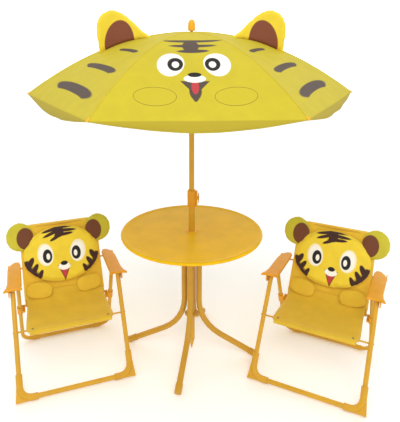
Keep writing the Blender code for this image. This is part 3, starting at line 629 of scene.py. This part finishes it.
def canopy_ear_outline():
    """Ear about its centre: upright on its outer side, sloping to the pole, cut along the canopy."""
    knots = ((0.081, -0.052), (0.084, -0.028), (0.089, 0.008), (0.088, 0.048), (0.074, 0.078),
             (0.044, 0.093), (0.012, 0.089), (-0.018, 0.072), (-0.054, 0.040), (-0.096, 0.004))
    arch = [tuple(point) for point in smooth_run(knots)
            if EAR_CENTRE[1] + point.y > canopy_height(EAR_CENTRE[0] + point.x) - EAR_SINK]
    first, last = arch[-1][0], arch[0][0]
    for k in range(1, 12):
        x = first + (last - first) * k / 12
        arch.append((x, canopy_height(EAR_CENTRE[0] + x) - EAR_CENTRE[1] - EAR_SINK))
    return arch


ear_blank = stuffed("canopy_ear_blank", canopy_ear_outline(), 0.008, 0.006, voxel=0.004)
for index, word in ((1, "right"), (4, "left")):
    ear = copy_of(ear_blank, f"canopy_ear_pad_{word}")
    outward = Vector((math.cos(rib_turn[index]), math.sin(rib_turn[index]), 0))
    facing = Vector((0, 0, 1)).cross(outward)
    facing *= -1 if facing.y > 0 else 1
    for vertex in ear.data.vertices:
        x, y, z = vertex.co
        lean = 0.10 * max(0.0, y) - 0.35 * x * x / 0.1
        place = Vector((pole.x, pole.y, EAR_CENTRE[1] + y)) + outward * (EAR_CENTRE[0] + x)
        vertex.co = place + facing * (z - lean)
    if outward.cross(Vector((0, 0, 1))).dot(facing) < 0:
        ear.data.flip_normals()
    finished(ear, canopy_ear_cloth, f"rib_{index + 1}", "canopy_fabric", f"canopy_ear_{word}")
bpy.data.objects.remove(ear_blank)

# %% [markdown]
# ## Chair covers
# Each chair wears two sleeves of the same golden polyester. One wraps the seat tube, rolls over its
# front and runs up at the crease. The other is a pocket that slips over the back frame. The cloth
# lies flat between the tubes and drops away beside them. Both are drawn in the chair's own frame:
# across, to the back and up, from the floor in the middle of its front bar.

# %% Chair frame and covers
SEAT_FRONT, SEAT_BACK = Vector((0.109, 0.185)), Vector((0.272, 0.185))      # pivots (back, up)
ARM_BACK, BACK_TOP = Vector((0.341, 0.300)), Vector((0.4025, 0.436))
UPPER = (BACK_TOP - ARM_BACK).normalized()
LOWER = (ARM_BACK - SEAT_BACK).normalized()
SEAT_HALF = 0.148                           # half of the seat sleeve's width, at its front
TUBE_LINE = 0.1225                          # seat tube, from the middle
BACK_HALF = 0.1464                          # half of the back sleeve's width
POCKET = 0.0088                             # half of the back sleeve's depth
BACK_REACH = (-0.118, 0.1580)               # back sleeve, along the back from the armrest pivot
# painted shadow: two dark ovals at the foot of the back stand for the shaded openings where the hinges
# show through the cloth
painted_opening_shadows = [(oval, ((0.130, -0.108), (0.0085, 0.014), 0.0, 0.1), "3a2010"),
                (oval, ((-0.130, -0.108), (0.0085, 0.014), 0.0, 0.1), "3a2010")]
seat_cloth = woven("golden_polyester_seat_sleeve", "ddb62a", thread="efcf6a")
back_cloth = woven("golden_polyester_back_sleeve", "ebbf2e", painted_opening_shadows, thread="efcf6a")


def smooth(low, high, value):
    """Soft step from 0 to 1."""
    share = min(1.0, max(0.0, (value - low) / (high - low)))
    return share * share * (3 - 2 * share)


def chair_frame(side):
    """Matrix from the chair's own frame to the set."""
    fold = joints[f"{side}_chair_fold"]
    across = Vector(fold["axis"])
    back = Vector((0, 0, 1)).cross(across)
    foot = Vector(fold["pos_m"]) - back * SEAT_FRONT.x
    foot.z = 0
    return Matrix.Translation(foot) @ Matrix((across, back, (0, 0, 1))).transposed().to_4x4()


def on_back(x, reach, out):
    """Point of the chair from its place across and along the back, and its height off the back."""
    bend = smooth(-0.025, 0.025, reach)
    way = UPPER if reach >= 0 else LOWER
    facing = (LOWER * (1 - bend) + UPPER * bend).normalized()
    spot = ARM_BACK + way * reach + Vector((-facing.y, facing.x)) * out
    return Vector((x, spot.x, spot.y))


# %% [markdown]
# The seat sleeve is a strip that goes round the front of the tube, across the seat and up the foot
# of the back. Its line is drawn once, seen from the side, and the strip is swept along it.


# %% Seat sleeves
def seat_profile():
    """Line of the seat sleeve in (back, up), from under the front tube to the foot of the back."""
    knots = [(0.112, 0.1778), (0.100, 0.1776), (0.0905, 0.1772), (0.0835, 0.1795), (0.0808, 0.1855),
             (0.0835, 0.1918), (0.0905, 0.1946), (0.104, 0.1953), (0.130, 0.1950), (0.165, 0.1946),
             (0.200, 0.1948), (0.230, 0.1958), (0.250, 0.1985)]
    knots += [tuple(on_back(0, reach, 0.0108)[1:]) for reach in (-0.113, -0.104, -0.092)]
    return smooth_run(knots, 6)


SEAT_LINE = seat_profile()
SEAT_RUN = [0.0]
for before, after in zip(SEAT_LINE, SEAT_LINE[1:]):
    SEAT_RUN.append(SEAT_RUN[-1] + (after - before).length)


def seat_point(u, v):
    """Point of the seat sleeve in the chair's frame."""
    knot = SEAT_LINE[round(v * (len(SEAT_LINE) - 1))]
    deep = smooth(0.09, 0.26, knot.x)
    front = 1.0 if knot.y < 0.1855 else 1 - smooth(0.0805, 0.1000, knot.x)     # its corners are rounded
    half = SEAT_HALF - 0.009 * deep - 0.010 * front
    x = (2 * u - 1) * half
    top = smooth(0.188, 0.1940, knot.y) if knot.x < 0.1 else 1.0
    outside = max(0.0, abs(x) - TUBE_LINE + 0.004 * deep)
    inside = max(0.0, 1 - (x / (TUBE_LINE - 0.008)) ** 2)
    level = smooth(0.088, 0.115, knot.x) * (1 - smooth(0.215, 0.262, knot.x))
    crumple = noise.noise(Vector((x * 14, knot.x * 14, 1.3))) * 0.0011
    drop = -9.0 * outside ** 2 * (1 - deep) * top - 0.0035 * inside * level + crumple * level
    return Vector((x, knot.x, knot.y + drop))


def seat_sleeve(side, frame_matrix):
    """Seat cloth, which turns up at the crease."""
    rows = len(SEAT_LINE) - 1
    flat_width = 2 * SEAT_HALF

    def hem(u, v):
        run = SEAT_RUN[round(v * rows)]
        edge = min(u, 1 - u) * flat_width
        front = abs(run - 0.055) + 0.001
        return (edge, run) if edge < front else (front, u * flat_width)

    cloth = grid(f"{side}_chair_seat_sleeve", 64, rows, lambda u, v: frame_matrix @ seat_point(u, v),
                 lambda u, v: ((2 * u - 1) * SEAT_HALF, SEAT_RUN[round(v * rows)] + 1.0), hem)
    thickened(cloth, 0.0010)
    finished(cloth, seat_cloth, None, "seat_fabric", f"{side}_chair_seat_fabric")
    frame_matrix @ on_back(0, -0.112, 0.0108)
    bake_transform(cloth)
    return cloth


chair_frames = {side: chair_frame(side) for side in ("left", "right")}
for side, matrix in chair_frames.items():
    seat = seat_sleeve(side, matrix)
    for way, word in ((-1, "left"), (1, "right")):
        spot = matrix @ Vector((way * 0.127, 0.097, 0.1960))
        stack = [spot + Vector((0, 0, height)) for height in (0, 0.0006, 0.0012)]
        line(f"{side}_chair_seat_rivet_{word}", stack, 0.0028, steel_rivet, f"{side}_chair_seat",
             "rib_enamel")
    print(side, "seat sleeve faces", len(seat.data.polygons))

# %% [markdown]
# The back sleeve is a flat pocket, sewn at its sides and its top, that is pulled down over the back
# frame. It is swept as one loop that goes across the front and returns across the rear.


# %% Back sleeves
def back_half(reach):
    """Half of the back sleeve's width at a place along the back."""
    corner = max(0.0, reach - (BACK_REACH[1] - 0.046)) / 0.046
    return BACK_HALF - 0.040 * (1 - math.sqrt(max(0.0, 1 - corner * corner)))


def back_sleeve(side, frame_matrix):
    """Pocket over the back frame, closed at its sides and its top."""
    rows, columns = 52, 96
    low, high = BACK_REACH
    reaches = [low + (high - low) * (1 - (1 - k / rows) ** 1.35) for k in range(rows + 1)]

    def point(u, v):
        reach = reaches[round(v * rows)]
        half = back_half(reach)
        lid = min(1.0, (high - reach) / POCKET)
        depth = POCKET * math.sqrt(max(0.0, 1 - (1 - lid) ** 2))
        turn = 2 * u if u < 0.5 else 2 - 2 * u                # 0 to 1 across, front then rear
        x = math.cos(math.pi * turn)
        x = math.copysign(abs(x) ** 0.55, x) * half
        side_curve = max(0.0, abs(x) - (half - POCKET)) / POCKET
        out = depth * math.sqrt(max(0.0, 1 - side_curve ** 2))
        slack = max(0.0, 1 - (x / (half - POCKET)) ** 2) if half > POCKET else 0.0
        out -= 0.004 * slack * min(1.0, lid)
        out += 0.0010 * noise.noise(Vector((x * 13, reach * 13, 5.2 + 9 * (u > 0.5)))) * slack
        return on_back(x, reach, max(0.0005, out) if u < 0.5 else -max(0.0005, out))

    def flat(u, v):
        turn = 2 * u if u < 0.5 else 2 - 2 * u
        x = math.cos(math.pi * turn)
        shift = 0.0 if u < 0.5 else 2.0
        return (math.copysign(abs(x) ** 0.55, x) * BACK_HALF + shift, reaches[round(v * rows)])

    def hem(u, v):
        reach = reaches[round(v * rows)]
        return (min(high - reach, reach - low) if v < 0.99 else 1.0, u * 4 * BACK_HALF)

    cloth = grid(f"{side}_chair_back_sleeve", columns, rows, lambda u, v: frame_matrix @ point(u, v),
                 flat, hem)
    cage = bmesh.new()
    cage.from_mesh(cloth.data)
    bmesh.ops.remove_doubles(cage, verts=cage.verts, dist=0.00005)
    bmesh.ops.recalc_face_normals(cage, faces=cage.faces)
    cage.to_mesh(cloth.data)
    cage.free()
    thickened(cloth, 0.0008)
    finished(cloth, back_cloth, f"{side}_chair_back", "seat_fabric", f"{side}_chair_back_fabric")
    return cloth


for side, matrix in chair_frames.items():
    rest = back_sleeve(side, matrix)
    print(side, "back sleeve faces", len(rest.data.polygons))

# %% [markdown]
# ## Animal heads and paws
# The head is a stuffed oval with a printed face. Its ears are sewn in behind its edge, and two
# paws are sewn on below it, as if the animal held the sitter. The print is a generic tiger.

# %% Print of the heads
FACE, MARK = "efd030", "3b1a10"
HEAD = (0.0, 0.034)                         # middle of the head: across, along the back
head_print = []
strokes = ((0.016, 0.100, 0.042, 2.0), (-0.028, 0.093, 0.040, 12.0), (0.014, 0.086, 0.046, -3.0),
           (-0.030, 0.079, 0.036, 20.0), (0.012, 0.071, 0.036, 4.0), (-0.016, 0.062, 0.026, 26.0))
for across, up, half, turn in strokes:      # the fan of strokes on the forehead
    head_print.append((oval, ((across, up), (half, 0.0062), turn, 0.1), MARK))
head_print.append((oval, ((-0.004, 0.083), (0.018, 0.022), 0.0, 0.06), MARK))
head_print += both_sides(oval, (0.060, 0.002), (0.0290, 0.0430), -6.0, 0.03, ink="f6edc8")
head_print += both_sides(oval, (0.0585, 0.001), (0.0245, 0.0375), -6.0, 0.03, ink=CREAM)
head_print += both_sides(oval, (0.0530, -0.004), (0.0170, 0.0262), 0.0, 0.04, ink=INK)
head_print += both_sides(oval, (0.0505, -0.005), (0.0068, 0.0118), 0.0, 0.08, ink=CREAM)
head_print += [(wedge, ((0.005, -0.104), 0.058, 0.024), MARK),
               (wedge, ((0.005, -0.099), 0.046, 0.018), RED),
               (oval, ((0.005, -0.052), (0.022, 0.0135)), CREAM),
               (oval, ((0.005, -0.039), (0.0130, 0.0090)), INK)]
head_print += [(crescent, ((way * 0.120, -0.055), (0.050, 0.046), (0.0, 0.0), (0.121, 0.092)), MARK)
               for way in (1, -1)]
for middle, radii in (((0.116, -0.022), (0.0100, 0.024)), ((0.101, -0.047), (0.0090, 0.023)),
                      ((0.083, -0.070), (0.0078, 0.019))):
    head_print += both_sides(oval, middle, radii, 28.0, 0.08, ink=MARK)
head_cloth = woven("printed_golden_polyester_head", FACE, head_print, drift=0.05)
head_ear_print = [(oval, ((-0.019, -0.008), (0.031, 0.040), 0.0, 0.03), "6e3a1c")]
head_ear_cloth = woven("lemon_polyester_head_ear", "c6ba2c", head_ear_print)
paw_cloth = woven("golden_polyester_paw", "e4bc2c")

# %% [markdown]
# One blank of each kind serves both chairs. It is laid on the line of the back, so it bends where
# the back bends, and its rear is pressed flat against the sleeve. Golden piping hides the head's seam.

# %% Heads, ears and paws
head_blank = stuffed("head_blank", ellipse((0, 0), (0.148, 0.114), 64, 2.15), 0.010, 0.011)
ear_blank = stuffed("head_ear_blank", ellipse((0, 0), (0.052, 0.056), 40), 0.007, 0.005, voxel=0.0035)
paw_blank = stuffed("paw_blank", ellipse((0, 0), (0.047, 0.0300), 40, 2.6), 0.008, 0.006, voxel=0.0035)
head_rim = rim_path(head_blank)


def laid(obj, matrix, centre, lift, turn=0.0, mirror=1, flatten=0.45):
    """Lay a blank on the back; its rear is pressed flat against the cloth behind it."""
    cos, sin = math.cos(turn), math.sin(turn)
    for vertex in obj.data.vertices:
        x, y, z = vertex.co
        x, y = mirror * (x * cos - y * sin), x * sin + y * cos
        z = z if z > 0 else z * flatten
        vertex.co = matrix @ on_back(centre[0] + x, centre[1] + y, lift + z)
    if mirror < 0:
        obj.data.flip_normals()
    return obj


def dress(side, matrix):
    """Head, ears, piping and paws of one chair."""
    body = f"{side}_chair_back"
    head = laid(copy_of(head_blank, f"{side}_chair_head_pad"), matrix, HEAD, 0.0165)
    finished(head, head_cloth, body, "padded_fabric", f"{side}_chair_head_cushion")
    for way, word in ((-1, "left"), (1, "right")):
        ear = laid(copy_of(ear_blank, f"{side}_chair_ear_{word}"), matrix, (way * 0.146, 0.115), 0.0150,
                   mirror=way)
        finished(ear, head_ear_cloth, body, "padded_fabric")
        paw = laid(copy_of(paw_blank, f"{side}_chair_paw_pad_{word}"), matrix, (way * 0.091, -0.091),
                   0.0165, turn=math.radians(8), mirror=way)
        finished(paw, paw_cloth, body, "padded_fabric", f"{side}_chair_paw_{word}")
    path = [matrix @ on_back(HEAD[0] + p.x, HEAD[1] + p.y, 0.0165 + max(0.0, p.z)) for p in head_rim]
    line(f"{side}_chair_head_piping", path, 0.0016, head_piping, body, "padded_fabric", cyclic=True)


head_piping = woven("golden_polyester_piping", "e6c13a")
for side, matrix in chair_frames.items():
    dress(side, matrix)
for blank in (head_blank, ear_blank, paw_blank):
    bpy.data.objects.remove(blank)

# %% [markdown]
# ## Studio
# A white seamless ground before a lit wall. The ground glows a little, as a light table does, so the
# shadows of the thin legs stay pale.

# %% Floor and wall
stage_mesh = bpy.data.meshes.new("seamless_ground")
stage_mesh.from_pydata([(-9, -9, 0), (9, -9, 0), (9, 9, 0), (-9, 9, 0)], [], [(0, 1, 2, 3)])
ground = bpy.data.objects.new("seamless_ground", stage_mesh)
bpy.context.scene.collection.objects.link(ground)
paper, tree, shader, place = new_material("white_background_paper")
tree.links.new(tinted(tree, place, "fdfdfc", 0.005, 0.9), shader.inputs["Base Color"])
shader.inputs["Roughness"].default_value = 0.9
shader.inputs["Emission Color"].default_value = linear("fffdf8")
shader.inputs["Emission Strength"].default_value = 0.11          # lit from below, like a light table
ground.data.materials.append(paper)

wall = bpy.data.meshes.new("white_wall")
wall.from_pydata([(-12, 8.5, -1), (12, 8.5, -1), (12, 8.5, 7), (-12, 8.5, 7)], [], [(0, 1, 2, 3)])
backdrop = bpy.data.objects.new("white_wall", wall)
bpy.context.scene.collection.objects.link(backdrop)
lit, tree, shader, place = new_material("lit_white_backdrop")
tree.links.new(tinted(tree, place, "ffffff", 0.01, 2.0), shader.inputs["Emission Color"])
shader.inputs["Emission Strength"].default_value = 1.0
backdrop.data.materials.append(lit)

# %% [markdown]
# Two softboxes and a white surround light the set: one hangs overhead, and one in front and above
# reaches the faces under the canopy. The camera is 1.2 m up and looks slightly down.


# %% Light and camera
def soft_light(name, spot, aim, size, watts):
    """Square softbox that faces a point."""
    data = bpy.data.lights.new(name, "AREA")
    data.energy, data.size = watts, size
    lamp = bpy.data.objects.new(name, data)
    lamp.location = spot
    lamp.rotation_euler = (Vector(aim) - Vector(spot)).to_track_quat("-Z", "Y").to_euler()
    bpy.context.scene.collection.objects.link(lamp)


world = bpy.data.worlds.new("studio")
bpy.context.scene.world = world
world.use_nodes = True
world.node_tree.nodes["Background"].inputs[0].default_value = linear("ffffff")
world.node_tree.nodes["Background"].inputs[1].default_value = 0.74
bpy.context.scene.view_settings.view_transform = "Standard"
soft_light("overhead_softbox", (-0.5, -1.2, 5.0), (0, 0, 0.4), 2.8, 38)
soft_light("front_softbox", (0.4, -3.0, 3.2), (0, 0, 0.4), 2.2, 50)
lens = bpy.data.cameras.new("camera")
lens.lens, lens.sensor_width, lens.clip_end = 42.5, 36, 30
lens.shift_x, lens.shift_y = 0.017, -0.177
camera = bpy.data.objects.new("camera", lens)
camera.location = (pole.x + 0.004, -1.646, 1.210)
camera.rotation_euler = (math.radians(90 - 13.21), 0, 0)
bpy.context.scene.collection.objects.link(camera)
bpy.context.scene.camera = camera
